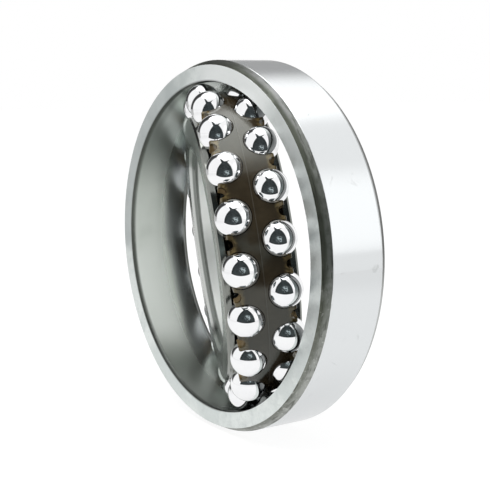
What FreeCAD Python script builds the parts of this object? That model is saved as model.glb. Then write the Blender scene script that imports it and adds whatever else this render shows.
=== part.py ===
import FreeCAD, Part
import math
import os

# Self-aligning ball bearing: a wide outer ring with a spherical raceway, a grooved
# inner ring, two staggered rows of balls and one moulded snap cage.
#
# Origin: centre of the spherical raceway. The outer ring's axis is Y, its front face
# looks along -Y, and +Z is up. The inner assembly (inner ring, cage and balls) is made
# in line with the outer ring, then swivelled about a diameter as one unit.

Vector = FreeCAD.Vector

# Boundary sizes, in millimetres
bore_diameter = 65.0
section_height = 27.5           # from the bore to the outside, along a radius
outer_ring_width = 23.0
inner_ring_width = 23.0

# Balls
ball_diameter = 11.1125
balls_per_row = 20
row_offset = 6.0                # ball centres to the middle plane
race_clearance = 0.10           # ball to either raceway
pocket_clearance = 0.15         # ball to its cage pocket

# Outer ring
outer_ring_wall = 5.97          # at the middle of the raceway
front_corner_radial = 1.5
front_corner_axial = 3.1
back_corner_radial = 1.1
back_corner_axial = 1.8
mouth_corner_radial = 0.35      # between the raceway and each face
mouth_corner_axial = 1.3

# Inner ring
groove_openness = 0.25          # groove radius beyond the ball's running radius
groove_depth = 1.0
bore_corner_radial = 1.5
bore_corner_axial = 1.9
shoulder_corner = 0.6

# Cage
cage_cover = 1.8                # cage skin outside the sphere through the ball centres
cage_depth = 3.0                # cage inside the pitch circle
web_reach = 1.0                 # solid webs beyond the ball centres
claw_reach = 3.0                # claws beyond the ball centres
claw_gap_share = 0.87           # of a web's narrowest width, the notch between its claws
claw_round = 0.8
claw_inner_chamfer = 0.5
parting_line_width = 0.3
parting_line_height = 0.12

# Pose of the inner assembly, in degrees
swivel_angle = 27.0             # from in line with the outer ring
swivel_lean = 15.6              # swivel diameter from the vertical
first_ball_angle = 2.6          # first front ball above +X, before the swivel

# Worked out from the sizes above
bore_radius = bore_diameter / 2
outside_radius = bore_radius + section_height
ball_radius = ball_diameter / 2
raceway_radius = outside_radius - outer_ring_wall
centre_sphere_radius = raceway_radius - race_clearance - ball_radius
pitch_radius = math.sqrt(centre_sphere_radius ** 2 - row_offset ** 2)
pitch_angle = 360.0 / balls_per_row
contact_angle = math.atan2(row_offset, pitch_radius)
groove_radius = ball_radius + race_clearance + groove_openness
groove_centre_distance = centre_sphere_radius + groove_openness
groove_centre_radius = groove_centre_distance * math.cos(contact_angle)
groove_centre_offset = groove_centre_distance * math.sin(contact_angle)
shoulder_radius = groove_centre_radius - groove_radius + groove_depth
pocket_radius = ball_radius + pocket_clearance
web_width = 2 * math.pi * pitch_radius / balls_per_row - 2 * pocket_radius
claw_gap = claw_gap_share * web_width
cage_outer_radius = centre_sphere_radius + cage_cover
cage_inner_radius = pitch_radius - cage_depth
web_half_width = row_offset + web_reach
claw_half_width = row_offset + claw_reach

rows = {"front": -1, "rear": 1}
centre = Vector(0, 0, 0)
ring_axis = Vector(0, 1, 0)


def on_sphere(radius, offset):
    """Distance from the axis of a point on a sphere about the origin."""
    return math.sqrt(radius ** 2 - offset ** 2)


def point(radius, offset):
    """A point of a ring's half section, at +X from the axis."""
    return Vector(radius, offset, 0)


def line(start, end):
    return Part.LineSegment(start, end).toShape()


def arc(start, middle, end):
    return Part.Arc(start, middle, end).toShape()


def polyline(points):
    return [line(start, end) for start, end in zip(points, points[1:])]


def turned(edges):
    """The solid that a closed half section sweeps about the ring axis."""
    section = Part.Face(Part.Wire(edges))
    return section.revolve(centre, ring_axis, 360)


def around(radius, offset, degrees):
    """A point at an angle above +X about the ring axis."""
    angle = math.radians(degrees)
    return Vector(radius * math.cos(angle), offset, radius * math.sin(angle))


def ball_angle(row, index):
    """The rear row stands half a pitch on from the front row."""
    stagger = pitch_angle / 2 if row == "rear" else 0.0
    return first_ball_angle + stagger + index * pitch_angle


def ball_centre(row, index):
    return around(pitch_radius, rows[row] * row_offset, ball_angle(row, index))


def swivelled(shape):
    """Turn a shape of the inner assembly with its swivel diameter."""
    lean = math.radians(swivel_lean)
    swivel_axis = Vector(math.sin(lean), 0, -math.cos(lean))
    turned_shape = shape.copy()
    turned_shape.rotate(centre, swivel_axis, swivel_angle)
    return turned_shape


def make_outer_ring():
    """Plain ring: ground outside, unequal turned corners, spherical raceway."""
    half = outer_ring_width / 2
    edge_offset = half - mouth_corner_axial
    edge_radius = on_sphere(raceway_radius, edge_offset)
    mouth_radius = edge_radius + mouth_corner_radial
    outside = polyline([
        point(edge_radius, -edge_offset),
        point(mouth_radius, -half),
        point(outside_radius - front_corner_radial, -half),
        point(outside_radius, front_corner_axial - half),
        point(outside_radius, half - back_corner_axial),
        point(outside_radius - back_corner_radial, half),
        point(mouth_radius, half),
        point(edge_radius, edge_offset),
    ])
    raceway = arc(
        point(edge_radius, edge_offset),
        point(raceway_radius, 0),
        point(edge_radius, -edge_offset),
    )
    return turned(outside + [raceway])


def make_inner_ring():
    """Ring with two deep grooves, whose sections open along the contact lines."""
    half = inner_ring_width / 2
    opening = math.sqrt(groove_radius ** 2 - (groove_centre_radius - shoulder_radius) ** 2)
    groove_floor = groove_centre_radius - groove_radius
    outer_lip = groove_centre_offset + opening
    inner_lip = groove_centre_offset - opening
    edges = polyline([
        point(shoulder_radius, outer_lip),
        point(shoulder_radius, half - shoulder_corner),
        point(shoulder_radius - shoulder_corner, half),
        point(bore_radius + bore_corner_radial, half),
        point(bore_radius, half - bore_corner_axial),
        point(bore_radius, bore_corner_axial - half),
        point(bore_radius + bore_corner_radial, -half),
        point(shoulder_radius - shoulder_corner, -half),
        point(shoulder_radius, shoulder_corner - half),
        point(shoulder_radius, -outer_lip),
    ])
    edges.append(arc(
        point(shoulder_radius, -outer_lip),
        point(groove_floor, -groove_centre_offset),
        point(shoulder_radius, -inner_lip),
    ))
    edges.append(line(point(shoulder_radius, -inner_lip), point(shoulder_radius, inner_lip)))
    edges.append(arc(
        point(shoulder_radius, inner_lip),
        point(groove_floor, groove_centre_offset),
        point(shoulder_radius, outer_lip),
    ))
    return turned(edges)


def cage_blank():
    """Cage band before its pockets: crowned outside, with a fine parting line."""
    round_start = claw_half_width - claw_round
    round_radius = on_sphere(cage_outer_radius, round_start)
    round_centre = round_radius - claw_round
    diagonal = claw_round * math.sqrt(0.5)
    line_edge = parting_line_width / 2
    line_foot = on_sphere(cage_outer_radius, line_edge)
    line_top = cage_outer_radius + parting_line_height
    crown_middle = (line_edge + round_start) / 2
    crown_radius = on_sphere(cage_outer_radius, crown_middle)
    inner_edge = claw_half_width - claw_inner_chamfer

    def flank(side):
        """One side of the section, from the parting line round to the inside."""
        crown = arc(
            point(line_foot, side * line_edge),
            point(crown_radius, side * crown_middle),
            point(round_radius, side * round_start),
        )
        tip_round = arc(
            point(round_radius, side * round_start),
            point(round_centre + diagonal, side * (round_start + diagonal)),
            point(round_centre, side * claw_half_width),
        )
        tip = polyline([
            point(round_centre, side * claw_half_width),
            point(cage_inner_radius + claw_inner_chamfer, side * claw_half_width),
            point(cage_inner_radius, side * inner_edge),
        ])
        return [crown, tip_round] + tip

    parting_line = polyline([
        point(line_foot, -line_edge),
        point(line_top, -line_edge),
        point(line_top, line_edge),
        point(line_foot, line_edge),
    ])
    inside = line(point(cage_inner_radius, inner_edge), point(cage_inner_radius, -inner_edge))
    return turned(flank(-1)[::-1] + parting_line + flank(1) + [inside])


def claw_notch(row, index):
    """U-shaped cutter between the two claws of the web after a ball."""
    side = rows[row]
    half_gap = claw_gap / 2
    bend = web_half_width + half_gap
    mouth = claw_half_width + claw_gap
    inside = cage_inner_radius - claw_gap
    outside = cage_outer_radius + claw_gap

    def corner(offset, height):
        return Vector(inside, side * offset, height)

    outline = [
        line(corner(mouth, half_gap), corner(bend, half_gap)),
        arc(corner(bend, half_gap), corner(web_half_width, 0), corner(bend, -half_gap)),
        line(corner(bend, -half_gap), corner(mouth, -half_gap)),
        line(corner(mouth, -half_gap), corner(mouth, half_gap)),
    ]
    cutter = Part.Face(Part.Wire(outline)).extrude(Vector(outside - inside, 0, 0))
    cutter.rotate(centre, ring_axis, -(ball_angle(row, index) + pitch_angle / 2))
    return cutter


def make_cage():
    """One-piece snap cage: a spherical pocket round each ball, claws that close over it."""
    cutters = []
    for row in rows:
        for index in range(balls_per_row):
            cutters.append(Part.makeSphere(pocket_radius, ball_centre(row, index)))
            cutters.append(claw_notch(row, index))
    return cage_blank().cut(cutters)


def make_ball(row, index):
    return Part.makeSphere(ball_radius, ball_centre(row, index))


def save(shape, name):
    if not shape.isValid() or len(shape.Solids) != 1:
        raise ValueError(name + " is not one sound solid")
    shape.Solids[0].exportStep("parts/" + name + ".step")


os.makedirs("parts", exist_ok=True)
save(make_outer_ring(), "outer_ring")
save(swivelled(make_inner_ring()), "inner_ring")
save(swivelled(make_cage()), "cage")
for row in rows:
    for index in range(balls_per_row):
        save(swivelled(make_ball(row, index)), "%s_ball_%02d" % (row, index + 1))
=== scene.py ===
import math
from types import SimpleNamespace

import bpy
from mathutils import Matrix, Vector

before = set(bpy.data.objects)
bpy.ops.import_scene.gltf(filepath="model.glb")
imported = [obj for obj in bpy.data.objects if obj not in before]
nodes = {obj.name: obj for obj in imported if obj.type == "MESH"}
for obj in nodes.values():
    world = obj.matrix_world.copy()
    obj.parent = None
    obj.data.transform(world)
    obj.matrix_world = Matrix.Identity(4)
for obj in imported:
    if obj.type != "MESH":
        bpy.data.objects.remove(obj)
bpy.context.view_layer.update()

# Sizes repeated from the CAD model, in metres
OUTSIDE_RADIUS = 0.060
HALF_WIDTH = 0.0115
CORNER_RADIUS = 0.0585          # where the front corner meets the face
BACK_CORNER = 0.0018
MOUTH_RADIUS = 0.05341          # where the raceway's corner meets the face
SHOULDER_RADIUS = 0.04334
BORE_RADIUS = 0.0325
BORE_CORNER = 0.0015
CAGE_RADIUS = 0.05017
CLAW_START = 0.0066
SWIVEL_LEAN = math.radians(15.6)
SWIVEL_ANGLE = math.radians(27.0)
SWIVEL_AXIS = (math.sin(SWIVEL_LEAN), 0.0, -math.cos(SWIVEL_LEAN))

# Where the looks change, in metres
INSIDE_RADIUS = 0.0571          # nearer the axis than this lie the raceway and its mouths
# The dark of the mouths is painted shade; these depths say where it begins.
MOUTH_LEFT = (HALF_WIDTH - 0.0020, HALF_WIDTH - 0.0001)     # depths where a mouth's dark begins
MOUTH_RIGHT = (HALF_WIDTH - 0.0014, HALF_WIDTH - 0.0008)
OUTER_CORNER = CORNER_RADIUS + 0.0008
BACK_EDGE = HALF_WIDTH - BACK_CORNER
# The dark band on the bore corner is painted shade.
BAND_START = 0.0085             # dark band on the inner ring's bore corner
BAND_END = 0.0109
# The light through the notches is painted light.
NOTCH_RADIUS = 0.0492           # light comes through the claw notches nearer the axis than this

# Camera: where it stands and which way its back points
CAMERA_AT = Vector((0.30501, -0.20371, 0.05614))
CAMERA_BACK = Vector((0.81941, -0.55283, 0.15150))
CAMERA_LENS = 82.90
SENSOR = 36.0

# Studio: the open side of the tent and the side to its right, both level
STUDIO_FRONT = (0.829, -0.559, 0.0)
STUDIO_SIDE = (0.559, 0.829, 0.0)
FLOOR_Z = -0.0600
FLOOR_REACH = 3.0
LAMP_AT = (0.2, -0.3, 0.9)
LAMP_SIZE = 0.6
LAMP_POWER = 6.0
# Soft boxes: degrees round from the open side, degrees up, reach in degrees, gain
SOFT_BOXES = ((76.0, 17.0, 26.0, 0.27), (146.0, 52.0, 20.0, 0.24), (180.0, 80.0, 34.0, 2.40))
# Cards: distance towards the open side, then to its right and height of each corner
CARD_AHEAD = 0.120
DARK_OPENING = ((-0.117, -0.033), (0.100, -0.034), (0.090, 0.005), (0.079, 0.040), (0.063, 0.080),
                (0.040, 0.125), (0.030, 0.150), (0.115, 0.290), (0.012, 0.165), (-0.020, 0.165),
                (-0.044, 0.130), (-0.070, 0.080), (-0.086, 0.045), (-0.102, 0.005))
OPENING_FOLD = ((CARD_AHEAD, -0.012, 0.150), (CARD_AHEAD, -0.044, 0.128), (0.040, -0.080, 0.215))
# Painted glints gather round this point and this far.
GLINTS_AT = (CARD_AHEAD, 0.016, 0.010)
GLINTS_REACH = 0.034


class Graph:
    """Short calls for building the node tree of one material or of the world."""

    def __init__(self, tree):
        self.tree = tree
        tree.nodes.clear()

    def add(self, kind, **settings):
        node = self.tree.nodes.new(kind)
        for name, value in settings.items():
            setattr(node, name, value)
        return node

    def put(self, value, socket):
        """Link a socket, or set a plain number, colour or vector."""
        if isinstance(value, bpy.types.NodeSocket):
            self.tree.links.new(value, socket)
        else:
            socket.default_value = value

    def fill(self, sockets, values):
        """Put values into sockets in their order."""
        for socket, value in zip(sockets, values):
            self.put(value, socket)

    def math(self, operation, *values):
        node = self.add("ShaderNodeMath", operation=operation)
        self.fill(node.inputs, values)
        return node.outputs[0]

    def measure(self, operation, *values):
        """A length, distance or dot product of vectors."""
        node = self.add("ShaderNodeVectorMath", operation=operation)
        self.fill(node.inputs, values)
        return node.outputs["Value"]

    def plus(self, first, second):
        return self.math("ADD", first, second)

    def minus(self, first, second):
        return self.math("SUBTRACT", first, second)

    def times(self, product, *others):
        for value in others:
            product = self.math("MULTIPLY", product, value)
        return product

    def either(self, first, second):
        """The larger of two masks."""
        return self.math("MAXIMUM", first, second)

    def off(self, mask):
        """1 where a mask is 0."""
        return self.minus(1.0, mask)

    def step(self, value, start, end, low=0.0, high=1.0):
        """Smooth change from low to high as a value goes from start to end."""
        node = self.add("ShaderNodeMapRange", interpolation_type="SMOOTHSTEP")
        for name, given in (("Value", value), ("From Min", start), ("From Max", end),
                            ("To Min", low), ("To Max", high)):
            self.put(given, node.inputs[name])
        return node.outputs["Result"]

    def spread(self, noise, low=0.0, high=1.0):
        """A noise's usual range drawn out from low to high."""
        return self.step(noise, 0.3, 0.7, low, high)

    def window(self, value, start, full, fade, end):
        """1 from full to fade, and smoothly down to 0 at start and at end."""
        return self.times(self.step(value, start, full), self.step(value, end, fade))

    def mix(self, factor, first, second):
        """Blend of two colours."""
        node = self.add("ShaderNodeMix", data_type="RGBA")
        self.fill((node.inputs[0], node.inputs[6], node.inputs[7]), (factor, first, second))
        return node.outputs[2]

    def tint(self, base, mask, share, paint):
        """A base colour with a share of another mixed in where a mask is 1."""
        return self.mix(self.times(mask, share), base, paint)

    def blend(self, factor, first, second):
        """Blend of two numbers."""
        node = self.add("ShaderNodeMix", data_type="FLOAT")
        self.fill((node.inputs[0], node.inputs[2], node.inputs[3]), (factor, first, second))
        return node.outputs[0]

    def noise(self, where, scale, detail=2.0, roughness=0.5, distortion=0.0):
        node = self.add("ShaderNodeTexNoise")
        for name, value in (("Vector", where), ("Scale", scale), ("Detail", detail),
                            ("Roughness", roughness), ("Distortion", distortion)):
            self.put(value, node.inputs[name])
        return node.outputs["Fac"]

    def marks(self, parts, detail=3.0, roughness=0.6):
        """Noise drawn out into lines, from up to three coordinates and their scales."""
        scaled = [self.times(value, scale) for value, scale in parts]
        return self.noise(self.combine(*scaled), 1.0, detail, roughness)

    def combine(self, *values):
        node = self.add("ShaderNodeCombineXYZ")
        self.fill(node.inputs, values)
        return node.outputs[0]

    def separate(self, value):
        node = self.add("ShaderNodeSeparateXYZ")
        self.put(value, node.inputs[0])
        return node.outputs[0], node.outputs[1], node.outputs[2]

    def bump(self, height, strength, distance):
        node = self.add("ShaderNodeBump")
        for name, value in (("Strength", strength), ("Distance", distance), ("Height", height)):
            self.put(value, node.inputs[name])
        return node.outputs["Normal"]

    def emission(self, strength, paint=(1.0, 1.0, 1.0, 1.0)):
        node = self.add("ShaderNodeEmission")
        self.put(strength, node.inputs["Strength"])
        self.put(paint, node.inputs["Color"])
        return node.outputs[0]

    def surface(self, **inputs):
        """Principled shader with the given sockets, joined to the output."""
        shader = self.add("ShaderNodeBsdfPrincipled")
        for name, value in inputs.items():
            self.put(value, shader.inputs[name.replace("_", " ")])
        self.finish("ShaderNodeOutputMaterial", shader.outputs[0])

    def finish(self, kind, shader):
        self.put(shader, self.add(kind).inputs[0])


def colour(r, g, b):
    return (r, g, b, 1.0)


def new_material(name):
    material = bpy.data.materials.new(name)
    material.use_nodes = True
    return material, Graph(material.node_tree)


def ring_coordinates(g, swivelled):
    """Where a point lies at rest in a ring's own frame: offset along the axis, radius, angle."""
    where = g.add("ShaderNodeTexCoord").outputs["Object"]
    if swivelled:
        turn = g.add("ShaderNodeVectorRotate", rotation_type="AXIS_ANGLE")
        g.put(where, turn.inputs["Vector"])
        g.put(SWIVEL_AXIS, turn.inputs["Axis"])
        g.put(-SWIVEL_ANGLE, turn.inputs["Angle"])
        where = turn.outputs[0]
    x, offset, z = g.separate(where)
    return SimpleNamespace(where=where, x=x, z=z, offset=offset, depth=g.math("ABSOLUTE", offset),
                           radius=g.measure("LENGTH", g.combine(x, 0.0, z)),
                           angle=g.math("ARCTAN2", z, x))


def outer_ring_coordinates(g):
    """The outer ring's coordinates, its surfaces as masks and two noises; turn is degrees above +X."""
    at = ring_coordinates(g, False)
    at.turn = g.math("DEGREES", at.angle)
    at.left = g.step(g.math("ABSOLUTE", at.turn), 70.0, 95.0)
    at.on_face = g.step(at.depth, HALF_WIDTH - 0.00006, HALF_WIDTH - 0.00002)
    at.on_outside = g.step(at.radius, OUTSIDE_RADIUS - 0.00010, OUTSIDE_RADIUS - 0.00004)
    inside = g.step(at.radius, INSIDE_RADIUS + 0.00005, INSIDE_RADIUS - 0.00005)
    mouth_start, mouth_end = [g.blend(at.left, *pair) for pair in zip(MOUTH_RIGHT, MOUTH_LEFT)]
    mouth = g.step(at.depth, mouth_start, mouth_end)
    at.in_mouth = g.times(inside, mouth, g.off(at.on_face))
    at.in_race = g.times(inside, g.off(mouth))
    at.on_corner = g.off(g.either(g.either(at.on_face, at.on_outside), at.in_race))
    at.mottle = g.noise(at.where, 140.0, 4.0, 0.6)
    at.cloud = g.noise(at.where, 45.0, 3.0, 0.55)
    return at


def painted_mouth_shade(g, at):
    """Painted shade between raceway and face, paler grey in patches on the left."""
    # Paler patches of the painted shade on the left.
    left_patches = g.times(g.either(g.step(at.turn, 90.0, 120.0), g.step(at.turn, -135.0, -165.0)),
                     g.step(at.cloud, 0.30, 0.60, 0.7, 1.0))
    return g.mix(left_patches, colour(0.045, 0.048, 0.046), colour(0.15, 0.162, 0.145))


def face_colour(g, at, mouth_shade_steel):
    """Mottled satin steel with marks; painted shade on the upper left and in a band at the upper right,
    painted light across the top, and the mouth's painted shade along its inner edge.
    """
    patches = g.plus(g.times(at.mottle, 0.5), g.times(at.cloud, 0.5))
    steel = g.mix(g.step(patches, 0.42, 0.58), colour(0.72, 0.765, 0.75), colour(0.86, 0.90, 0.88))
    # Painted shade on the upper left.
    face_shade_left = g.either(g.step(at.turn, 95.0, 120.0), g.step(at.turn, -170.0, -176.0))
    steel = g.tint(steel, face_shade_left, 0.55, colour(0.45, 0.49, 0.49))
    marks = g.step(g.noise(at.where, 520.0, 5.0, 0.7, 0.4), 0.50, 0.64)
    steel = g.tint(steel, marks, 0.30, colour(0.60, 0.64, 0.63))
    # Painted shade in a band at the upper right.
    greyer = g.window(at.turn, 18.0, 38.0, 48.0, 58.0)
    steel = g.tint(steel, greyer, 0.55, colour(0.53, 0.555, 0.55))
    # Painted light across the top.
    paler = g.window(at.turn, 50.0, 60.0, 90.0, 102.0)
    steel = g.tint(steel, paler, 0.85, colour(0.93, 0.955, 0.945))
    # Painted shade of the mouth along the face's inner edge, on the left.
    face_rim_shade = g.times(g.step(at.radius, MOUTH_RADIUS + 0.0006, MOUTH_RADIUS), g.step(at.left, 0.2, 1.0))
    return g.tint(steel, face_rim_shade, 0.6, mouth_shade_steel)


def outside_colour(g, at):
    """Ground steel with smudges, and painted shade above along the back edge where it rolls into the back
    corner.
    """
    smudge = g.noise(at.where, 210.0, 5.0, 0.65, 0.6)
    steel = g.mix(g.step(smudge, 0.62, 0.74), colour(0.79, 0.812, 0.822), colour(0.67, 0.69, 0.695))
    # Painted shade along the back edge on the upper half.
    rear_edge_shade = g.times(g.step(at.offset, BACK_EDGE - 0.0005, BACK_EDGE - 0.0002), g.step(at.turn, 0.0, 20.0))
    return g.tint(steel, rear_edge_shade, 0.7, colour(0.30, 0.31, 0.31))


def raceway_colour(g, at):
    """Lapped steel in random tones, with painted light low on the left, painted shade on the upper left and
    over the lower half, painted dark on the right and painted shade deep inside on the left.
    """
    steel = g.mix(g.step(at.cloud, 0.35, 0.65), colour(0.715, 0.765, 0.72), colour(0.855, 0.90, 0.86))
    # Painted light low on the left.
    race_light_low = g.times(g.window(at.turn, -180.0, -167.0, -142.0, -128.0), g.step(at.offset, 0.004, 0.0))
    steel = g.tint(steel, race_light_low, 0.8, colour(0.95, 0.99, 0.96))
    # Painted shade in patches on the upper left.
    race_shade_patch = g.times(g.window(at.turn, 88.0, 108.0, 130.0, 150.0), g.step(at.offset, -0.0055, -0.0085))
    steel = g.tint(steel, race_shade_patch, 0.6, colour(0.30, 0.33, 0.30))
    # Painted shade on the upper left.
    upper = g.window(at.turn, 125.0, 140.0, 145.0, 168.0)
    steel = g.tint(steel, upper, 0.65, colour(0.26, 0.30, 0.28))
    # Painted shade over the lower half.
    lower = g.window(at.turn, -142.0, -118.0, -20.0, 0.0)
    steel = g.tint(steel, lower, 0.75, colour(0.20, 0.22, 0.20))
    # Painted shade on the right of the raceway.
    ragged_x = g.plus(at.x, g.times(g.minus(at.cloud, 0.5), 0.02))
    steel = g.mix(g.step(ragged_x, -0.014, 0.020), steel, colour(0.10, 0.11, 0.11))
    late = g.window(at.turn, -178.0, -162.0, -146.0, -134.0)
    ragged_offset = g.minus(g.plus(at.offset, g.times(at.cloud, 0.003)), g.times(late, 0.0012))
    left_part = g.either(g.step(at.turn, 138.0, 150.0), g.step(at.turn, -120.0, -135.0))
    # The polished mask is painted shade deep inside on the left, not a different finish.
    polished = g.times(g.step(ragged_offset, 0.0030, 0.0068), left_part)
    return g.tint(steel, polished, 0.72, colour(0.28, 0.30, 0.31))


def corner_colour(g, at):
    """Dark unground steel with streaks, blotches, scuffs and flecks; painted light paler outwards and over
    the lower part, where random wear pales it too; painted shade over the upper right; at the back painted
    shade above and painted light below.
    """
    streaks = g.marks(((at.x, 150.0), (at.z, 150.0), (at.radius, 2600.0)), 4.0, 0.65)
    ragged_radius = g.plus(at.radius, g.times(streaks, 0.0009))
    # Painted light on the outer part of the corner.
    outer_part = g.step(ragged_radius, OUTER_CORNER, OUTER_CORNER + 0.0006)
    # Painted shade over the upper right.
    corner_shade_zone = g.window(at.turn, 25.0, 55.0, 95.0, 105.0)
    # Painted light over the lower part, with random wear added.
    light_and_wear = g.either(g.step(at.turn, -55.0, -80.0), g.step(at.turn, -10.0, -34.0, 0.0, 0.68))
    light_and_wear = g.times(light_and_wear, g.step(at.turn, -176.0, -140.0))
    light_and_wear = g.plus(light_and_wear, g.times(g.step(at.mottle, 0.52, 0.66), 0.4))
    light_and_wear = g.times(light_and_wear, g.off(corner_shade_zone))
    dark_steel = g.mix(outer_part, colour(0.118, 0.128, 0.102), colour(0.245, 0.260, 0.235))
    corner_shade_outer = g.mix(g.step(at.turn, 64.0, 80.0), colour(0.180, 0.182, 0.184), colour(0.060, 0.064, 0.058))
    corner_shade_steel = g.mix(outer_part, colour(0.042, 0.047, 0.038), corner_shade_outer)
    dark_steel = g.tint(dark_steel, corner_shade_zone, 0.9, corner_shade_steel)
    light_and_wear_steel = g.mix(outer_part, colour(0.320, 0.335, 0.305), colour(0.480, 0.495, 0.470))
    steel = g.mix(g.math("MINIMUM", light_and_wear, 1.0), dark_steel, light_and_wear_steel)
    steel = g.tint(steel, g.step(streaks, 0.52, 0.66), 0.7, colour(0.055, 0.060, 0.046))
    scuffs = g.times(g.step(streaks, 0.50, 0.40), corner_shade_zone)
    steel = g.tint(steel, scuffs, 0.3, colour(0.165, 0.175, 0.150))
    blotches = g.step(g.noise(at.where, 330.0, 4.0, 0.65), 0.47, 0.60)
    steel = g.tint(steel, blotches, 0.25, colour(0.070, 0.076, 0.062))
    flecks = g.times(g.step(g.noise(at.where, 1100.0, 2.0), 0.62, 0.70), g.step(at.turn, 10.0, -30.0))
    steel = g.tint(steel, flecks, 0.7, colour(0.62, 0.64, 0.61))
    # At the back, painted light below and painted shade above.
    rear_corner_shade = g.mix(g.step(at.turn, -12.0, 6.0), colour(0.50, 0.51, 0.50), colour(0.13, 0.13, 0.125))
    return g.mix(g.step(at.offset, 0.0, 0.001), steel, rear_corner_shade)


def make_outer_ring_material():
    """Ground outside, mottled side faces, dark unground corners, lapped raceway."""
    material, g = new_material("outer_ring_ground_steel")
    at = outer_ring_coordinates(g)
    mouth_shade_steel = painted_mouth_shade(g, at)
    base = g.mix(at.on_outside, face_colour(g, at, mouth_shade_steel), outside_colour(g, at))
    base = g.mix(at.in_race, base, raceway_colour(g, at))
    base = g.mix(at.on_corner, base, corner_colour(g, at))
    # The mouth's dark colour is painted shade.
    base = g.mix(at.in_mouth, base, mouth_shade_steel)

    lines = g.marks(((at.angle, 2.0), (at.offset, 9000.0), (at.radius, 60.0)))
    laps = g.marks(((at.angle, 1.2), (at.radius, 7000.0)))
    satin = g.plus(g.step(at.offset, 0.0005, 0.0025, 0.30, 0.22), g.spread(at.cloud, 0.0, 0.03))
    race_roughness = g.blend(at.left, g.spread(at.cloud, 0.12, 0.18), satin)
    roughness = g.blend(at.on_outside, g.spread(at.mottle, 0.42, 0.52),
                        g.spread(lines, 0.11, 0.17))
    roughness = g.blend(at.in_race, roughness, race_roughness)

    relief = g.times(lines, g.plus(at.on_outside, g.times(at.in_race, 0.1)))
    relief = g.plus(relief, g.times(laps, at.on_face))
    relief = g.plus(relief, g.times(at.mottle, g.times(at.on_corner, 2.0)))
    g.surface(Base_Color=base, Metallic=0.94, Roughness=roughness, Normal=g.bump(relief, 0.25, 0.00003))
    return material


def make_inner_ring_material():
    """Ground steel with fine marks round the axis; the bore is the roughest part and painted light, with a
    painted shade band at its corner, and the shoulders between the parts painted in shade.
    """
    material, g = new_material("inner_ring_ground_steel")
    at = ring_coordinates(g, True)
    lines = g.marks(((at.angle, 2.0), (at.offset, 7000.0), (at.radius, 5000.0)))
    patches = g.step(g.noise(at.where, 70.0, 3.0, 0.55), 0.35, 0.65)
    in_bore = g.step(at.radius, BORE_RADIUS + 0.0001, BORE_RADIUS + 0.00004)
    corner_end = BORE_RADIUS + BORE_CORNER
    in_corner = g.step(at.radius, corner_end + 0.00004, corner_end)
    # Painted shade band on the bore corner.
    bore_shade_band = g.times(g.window(at.depth, BAND_START, BAND_START + 0.0005, BAND_END - 0.0006, BAND_END),
                        in_corner)
    # Painted shade on the shoulders between the parts.
    shoulder_shade = g.step(at.radius, SHOULDER_RADIUS - 0.0007, SHOULDER_RADIUS - 0.0005)
    face_steel = g.mix(patches, colour(0.58, 0.60, 0.575), colour(0.66, 0.675, 0.65))
    base = g.mix(shoulder_shade, face_steel, colour(0.26, 0.27, 0.25))
    base = g.mix(in_corner, base, colour(0.56, 0.58, 0.56))
    # Painted light in the bore.
    base = g.mix(in_bore, base, g.mix(patches, colour(0.91, 0.93, 0.91), colour(0.97, 0.99, 0.97)))
    base = g.tint(base, bore_shade_band, 0.9, colour(0.17, 0.185, 0.17))
    roughness = g.blend(in_bore, g.spread(lines, 0.14, 0.22), g.spread(lines, 0.42, 0.50))
    g.surface(Base_Color=base, Metallic=1.0, Roughness=roughness, Normal=g.bump(lines, 0.2, 0.00002))
    return material


def make_ball_material():
    """Mirror-polished steel with hardly any haze."""
    material, g = new_material("ball_polished_steel")
    haze = g.noise(g.add("ShaderNodeTexCoord").outputs["Object"], 260.0, 3.0, 0.6)
    base = g.mix(g.spread(haze), colour(0.92, 0.925, 0.935), colour(0.95, 0.955, 0.96))
    g.surface(Base_Color=base, Metallic=1.0, Roughness=g.step(haze, 0.45, 0.75, 0.015, 0.045))
    return material


def make_cage_material():
    """Glossy brown polyamide with a grey parting line; olive amber painted light where light comes through
    the thin claws and their notches, and painted shade where the claws turn edge on.
    """
    material, g = new_material("cage_brown_polyamide")
    at = ring_coordinates(g, True)
    cloud = g.noise(at.where, 120.0, 3.0, 0.6)
    grain = g.noise(at.where, 1400.0, 2.0, 0.5)
    streaky = g.noise(at.where, 420.0, 3.0, 0.6, 0.5)
    weight = g.add("ShaderNodeLayerWeight")
    g.put(0.35, weight.inputs["Blend"])
    # Painted shade where the claws turn edge on.
    edge_shade = g.step(weight.outputs["Facing"], 0.25, 0.85)
    thin = g.step(g.plus(at.depth, g.times(streaky, 0.0016)), CLAW_START, CLAW_START + 0.0016)
    body = g.mix(g.spread(cloud), colour(0.030, 0.022, 0.012), colour(0.044, 0.033, 0.019))
    # The olive amber of the thin claws is painted light coming through them.
    amber = g.mix(g.step(streaky, 0.35, 0.65), colour(0.056, 0.040, 0.016), colour(0.170, 0.125, 0.052))
    amber = g.tint(amber, edge_shade, 0.7, colour(0.045, 0.030, 0.014))
    base = g.mix(thin, body, amber)
    # Painted light through the claw notches.
    notch_light = g.times(g.step(at.radius, NOTCH_RADIUS, NOTCH_RADIUS - 0.0014),
                       g.step(at.depth, CLAW_START - 0.0006, CLAW_START))
    base = g.tint(base, notch_light, 0.9, colour(0.40, 0.30, 0.165))
    on_parting_line = g.step(at.radius, CAGE_RADIUS + 0.00002, CAGE_RADIUS + 0.00006)
    base = g.tint(base, on_parting_line, 0.2, colour(0.16, 0.15, 0.13))
    g.surface(Base_Color=base, Roughness=g.spread(grain, 0.12, 0.18), IOR=1.5,
              Normal=g.bump(grain, 0.25, 0.00003), Specular_IOR_Level=0.70,
              Specular_Tint=colour(0.93, 1.0, 0.95))
    return material


def assign(material, *names):
    for name in names:
        mesh = nodes[name].data
        mesh.materials.clear()
        mesh.materials.append(material)


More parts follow.
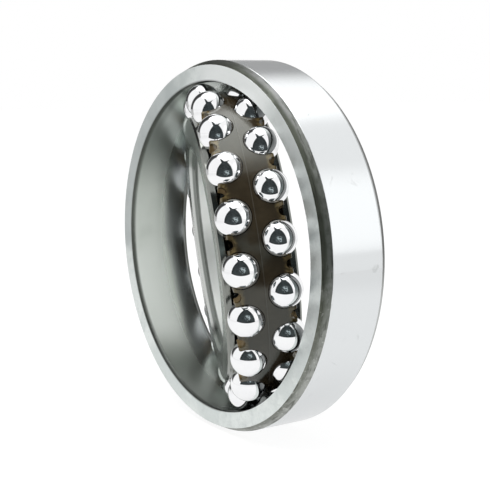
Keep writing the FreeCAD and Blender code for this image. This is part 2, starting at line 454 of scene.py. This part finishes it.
def studio_point(ahead, aside, up):
    """A place given towards the open side, to its right and up."""
    return Vector(STUDIO_FRONT) * ahead + Vector(STUDIO_SIDE) * aside + Vector((0.0, 0.0, up))


def studio_direction(turn, rise):
    """Unit vector given in degrees round from the open side and degrees up."""
    turn = math.radians(turn)
    rise = math.radians(rise)
    level = studio_point(math.cos(turn), math.sin(turn), 0.0)
    return level * math.cos(rise) + Vector((0.0, 0.0, math.sin(rise)))


def studio_turn(g, where):
    """Degrees round from the open side of the tent, and the distance to its right."""
    ahead = g.measure("DOT_PRODUCT", where, STUDIO_FRONT)
    aside = g.measure("DOT_PRODUCT", where, STUDIO_SIDE)
    return g.math("DEGREES", g.math("ARCTAN2", aside, ahead)), aside


def ray_kinds(g):
    """1 for rays seen directly, in mirrors or through glass, and 1 for those in mirrors."""
    path = g.add("ShaderNodeLightPath").outputs
    glossy = path["Is Glossy Ray"]
    return g.either(g.either(path["Is Camera Ray"], glossy), path["Is Transmission Ray"]), glossy


def make_world():
    """White studio; reflections also see the dark part of its back and the soft boxes."""
    world = bpy.data.worlds.new("studio")
    bpy.context.scene.world = world
    world.use_nodes = True
    g = Graph(world.node_tree)
    towards = g.add("ShaderNodeTexCoord").outputs["Generated"]
    turn, aside = studio_turn(g, towards)
    rise = g.math("DEGREES", g.math("ARCSINE", g.separate(towards)[2]))

    back = g.either(g.step(turn, -115.0, -125.0), g.step(turn, 152.0, 172.0))
    back_top = g.step(aside, -0.3, 0.3, 56.0, 36.0)
    back = g.times(back, g.step(g.minus(rise, back_top), 10.0, -10.0))
    backdrop = g.times(g.step(g.math("ABSOLUTE", turn), 152.0, 162.0), g.step(rise, 12.0, 4.0),
                       g.step(aside, 0.15, -0.05))
    back = g.times(back, g.off(backdrop), g.step(aside, -0.25, 0.05, 0.93, 0.60))
    level = g.minus(0.98, back)
    for box_turn, box_rise, reach, gain in SOFT_BOXES:
        near = g.measure("DOT_PRODUCT", towards, tuple(studio_direction(box_turn, box_rise)))
        spot = g.step(near, math.cos(math.radians(reach)), math.cos(math.radians(reach * 0.4)))
        level = g.plus(level, g.times(spot, gain))

    seen, glossy = ray_kinds(g)
    background = g.add("ShaderNodeBackground")
    g.put(colour(1.0, 1.0, 1.0), background.inputs["Color"])
    g.put(g.blend(glossy, g.blend(seen, 0.70, 1.0), level), background.inputs["Strength"])
    g.finish("ShaderNodeOutputWorld", background.outputs[0])


def make_floor():
    """White table; reflections see it greyer some way out and behind on the left."""
    corners = [(x * FLOOR_REACH, y * FLOOR_REACH, FLOOR_Z) for x, y in ((-1, -1), (1, -1), (1, 1), (-1, 1))]
    mesh = bpy.data.meshes.new("floor")
    mesh.from_pydata(corners, [], [(0, 1, 2, 3)])
    floor = bpy.data.objects.new("floor", mesh)
    bpy.context.scene.collection.objects.link(floor)
    material, g = new_material("floor_white")
    where = g.add("ShaderNodeTexCoord").outputs["Object"]
    x, y, _ = g.separate(where)
    reach = g.measure("LENGTH", g.combine(x, y, 0.0))
    turn, _ = studio_turn(g, where)
    band = g.minus(g.step(reach, 0.15, 0.27), g.step(reach, 0.33, 0.60, 0.0, 1.3))
    grey = g.times(g.step(reach, 0.28, 0.36), g.step(turn, -112.0, -116.0), g.step(turn, -158.0, -148.0))
    level = g.blend(grey, g.minus(0.93, g.times(band, 0.08)), 0.50)
    seen, glossy = ray_kinds(g)
    strength = g.plus(g.times(g.minus(seen, glossy), 0.86), g.times(glossy, g.minus(level, 0.2)))
    diffuse = g.add("ShaderNodeBsdfDiffuse")
    g.put(colour(0.22, 0.22, 0.22), diffuse.inputs["Color"])
    add = g.add("ShaderNodeAddShader")
    g.fill(add.inputs, (diffuse.outputs[0], g.emission(strength)))
    g.finish("ShaderNodeOutputMaterial", add.outputs[0])
    mesh.materials.append(material)


def make_dark_cloth():
    """Nearly black dim glow, with painted light and shade mottling it and a few painted glints."""
    material, g = new_material("dark_cloth")
    where = g.add("ShaderNodeTexCoord").outputs["Object"]
    # Painted light and shade mottling the dim glow.
    cloth_glow_mottle = g.step(g.noise(where, 26.0, 3.0, 0.6, 0.8), 0.35, 0.75, 0.032, 0.075)
    distance = g.measure("DISTANCE", where, tuple(studio_point(*GLINTS_AT)))
    near = g.step(distance, GLINTS_REACH, 0.012)
    # Painted glints near one point.
    cloth_glints = g.times(near, g.step(g.noise(where, 105.0, 2.0), 0.47, 0.56))
    strength = g.plus(cloth_glow_mottle, g.times(cloth_glints, 0.45))
    g.finish("ShaderNodeOutputMaterial", g.emission(strength, colour(0.82, 0.97, 1.0)))
    return material


def make_card(name, corners, material):
    """Flat card of the studio that only reflections see."""
    mesh = bpy.data.meshes.new(name)
    mesh.from_pydata([studio_point(*corner) for corner in corners], [], [tuple(range(len(corners)))])
    mesh.materials.append(material)
    card = bpy.data.objects.new(name, mesh)
    bpy.context.scene.collection.objects.link(card)
    card.visible_camera = False
    card.visible_diffuse = False
    card.visible_transmission = False
    card.visible_shadow = False


def make_lamp():
    """Large lamp that lights the scene but isn't seen in reflections."""
    data = bpy.data.lights.new("key_lamp", "AREA")
    data.shape = "RECTANGLE"
    data.size = LAMP_SIZE
    data.size_y = LAMP_SIZE
    data.energy = LAMP_POWER
    lamp = bpy.data.objects.new("key_lamp", data)
    lamp.location = LAMP_AT
    lamp.rotation_euler = Vector(LAMP_AT).to_track_quat("Z", "Y").to_euler()
    lamp.visible_glossy = False
    bpy.context.scene.collection.objects.link(lamp)


def make_camera():
    data = bpy.data.cameras.new("camera")
    data.lens = CAMERA_LENS
    data.sensor_width = SENSOR
    data.clip_start = 0.01
    camera = bpy.data.objects.new("camera", data)
    camera.location = CAMERA_AT
    camera.rotation_euler = CAMERA_BACK.to_track_quat("Z", "Y").to_euler()
    bpy.context.scene.collection.objects.link(camera)
    bpy.context.scene.camera = camera


bpy.context.scene.view_settings.view_transform = "Standard"
make_camera()
make_world()
make_floor()
dark_cloth = make_dark_cloth()
make_card("dark_opening", [(CARD_AHEAD, aside, up) for aside, up in DARK_OPENING], dark_cloth)
make_card("opening_fold", OPENING_FOLD, dark_cloth)
make_lamp()

assign(make_outer_ring_material(), "outer_ring")
assign(make_inner_ring_material(), "inner_ring")
assign(make_cage_material(), "cage")
assign(make_ball_material(), *(name for name in nodes if "_ball_" in name))
